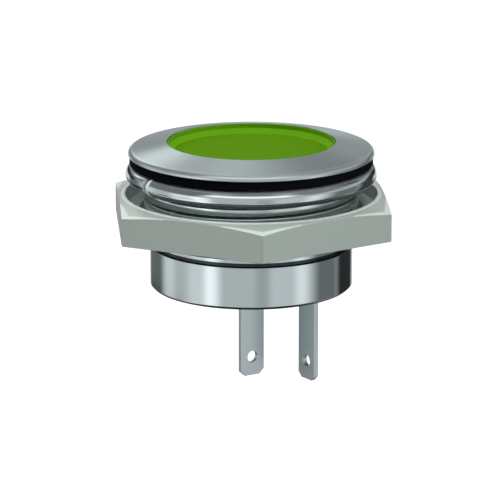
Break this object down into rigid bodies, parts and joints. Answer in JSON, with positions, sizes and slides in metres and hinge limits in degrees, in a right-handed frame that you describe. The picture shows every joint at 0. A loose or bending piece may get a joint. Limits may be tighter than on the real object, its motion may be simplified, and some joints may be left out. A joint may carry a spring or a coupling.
{
  "type": "panel pilot light",
  "caption": "Round metal panel pilot light with a dished green lens, coned bezel, flat gasket, threaded neck, wire lock ring, hexagonal nut and blade terminals.",
  "frame": {"origin": "on the axis, in the plane of the gasket's rear face, which bears on the front of the panel", "axes": "+Z along the axis, out through the lens; -Y is the side that the picture shows, and +X is to its right"},
  "size_m": [0.028, 0.031, 0.024],
  "materials": {
    "bezel_steel": "satin turned face, polished rear body",
    "lens_green": "translucent green, smooth",
    "gasket_rubber": "black, semi-matte",
    "ring_wire": "bright drawn wire",
    "nut_nickel": "satin nickel plate with a warm grey-green tint",
    "terminal_tin": "tinned, softly brushed",
    "seal_rubber": "matte",
    "retainer_brass": "turned",
    "diffuser_opal": "opal, smooth",
    "reflector_white": "moulded white",
    "board_green": "solder mask over glass laminate",
    "chip_white": "chip body with a clear dome",
    "chip_black": "moulded epoxy",
    "solder": "smooth tin alloy",
    "base_plastic": "moulded black insulating plastic",
    "resin": "cast epoxy resin"
  },
  "bodies": {
    "housing": {"bezel_housing": "bezel_steel", "lens": "lens_green", "lens_seal": "seal_rubber", "lens_retainer": "retainer_brass", "diffuser": "diffuser_opal", "reflector": "reflector_white", "circuit_board": "board_green", "led_1": "chip_white", "led_2": "chip_white", "led_3": "chip_white", "led_4": "chip_white", "resistor_1": "chip_black", "resistor_2": "chip_black", "rectifier": "chip_black", "terminal_left": "terminal_tin", "terminal_right": "terminal_tin", "solder_left": "solder", "solder_right": "solder", "terminal_base": "base_plastic", "resin_seal": "resin", "panel_gasket": "gasket_rubber"},
    "lock_ring": {"lock_ring": "ring_wire"},
    "hex_nut": {"hex_nut": "nut_nickel"}
  },
  "joints": [
    {"name": "nut_travel", "type": "slide", "parent": "housing", "child": "lock_ring", "axis": [0, 0, 1], "range_m": [-0.0025, 0]},
    {"name": "nut_spin", "type": "hinge", "parent": "lock_ring", "child": "hex_nut", "pos_m": [0, 0, 0], "axis": [0, 0, 1], "range_deg": [-900.1, 0]}
  ],
  "couplings": [
    {"joint": "nut_spin", "follows": "nut_travel", "rad_per_m": 6283.2}
  ]
}
